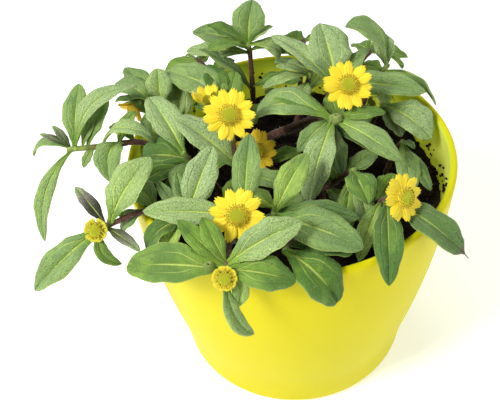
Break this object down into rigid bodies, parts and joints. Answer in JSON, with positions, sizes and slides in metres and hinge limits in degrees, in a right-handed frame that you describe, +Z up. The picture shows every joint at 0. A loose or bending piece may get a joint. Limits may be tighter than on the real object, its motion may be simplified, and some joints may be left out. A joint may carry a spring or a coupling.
{
  "type": "potted creeping zinnia",
  "caption": "Creeping zinnia with small yellow daisy blooms and hairy leaves, trailing over the rim of a round tapered pot.",
  "frame": {"origin": "centre of the pot's flat base, at the surface that it stands on", "axes": "+Z up; -Y is the side that the plant is seen from; +X to the right of it"},
  "size_m": [0.1797, 0.1802, 0.1494],
  "materials": {
    "pot_plastic": "satin",
    "potting_soil": "matte",
    "leaves": "matte",
    "petals": "matte",
    "flower_discs": "matte"
  },
  "bodies": {
    "root": {"pot": "pot_plastic", "soil": "potting_soil", "shoot_back_bloom": "leaves", "shoot_back_left": "leaves", "shoot_back_right": "leaves", "shoot_back_tall": "leaves", "shoot_back_young": "leaves", "shoot_front_bloom": "leaves", "shoot_front_bud": "leaves", "shoot_front_right": "leaves", "shoot_left_bud": "leaves", "shoot_left_inner": "leaves", "shoot_left_long": "leaves", "shoot_low_bloom": "leaves", "shoot_low_front": "leaves", "shoot_low_left": "leaves", "shoot_middle_bloom": "leaves", "shoot_middle_right": "leaves", "shoot_rear_1": "leaves", "shoot_rear_2": "leaves", "shoot_rear_3": "leaves", "shoot_right": "leaves", "shoot_right_bloom": "leaves", "shoot_right_low": "leaves", "shoot_woody": "leaves", "shoot_yellow_green": "leaves", "bloom_back_disc": "flower_discs", "bloom_back_petals": "petals", "bloom_fading_disc": "flower_discs", "bloom_fading_petals": "petals", "bloom_front_disc": "flower_discs", "bloom_front_petals": "petals", "bloom_low_disc": "flower_discs", "bloom_low_petals": "petals", "bloom_middle_disc": "flower_discs", "bloom_middle_petals": "petals", "bloom_opening_disc": "flower_discs", "bloom_opening_petals": "petals", "bloom_right_disc": "flower_discs", "bloom_right_petals": "petals", "bud_front_disc": "flower_discs", "bud_front_petals": "petals", "bud_left_disc": "flower_discs", "bud_left_petals": "petals"}
  },
  "joints": []
}
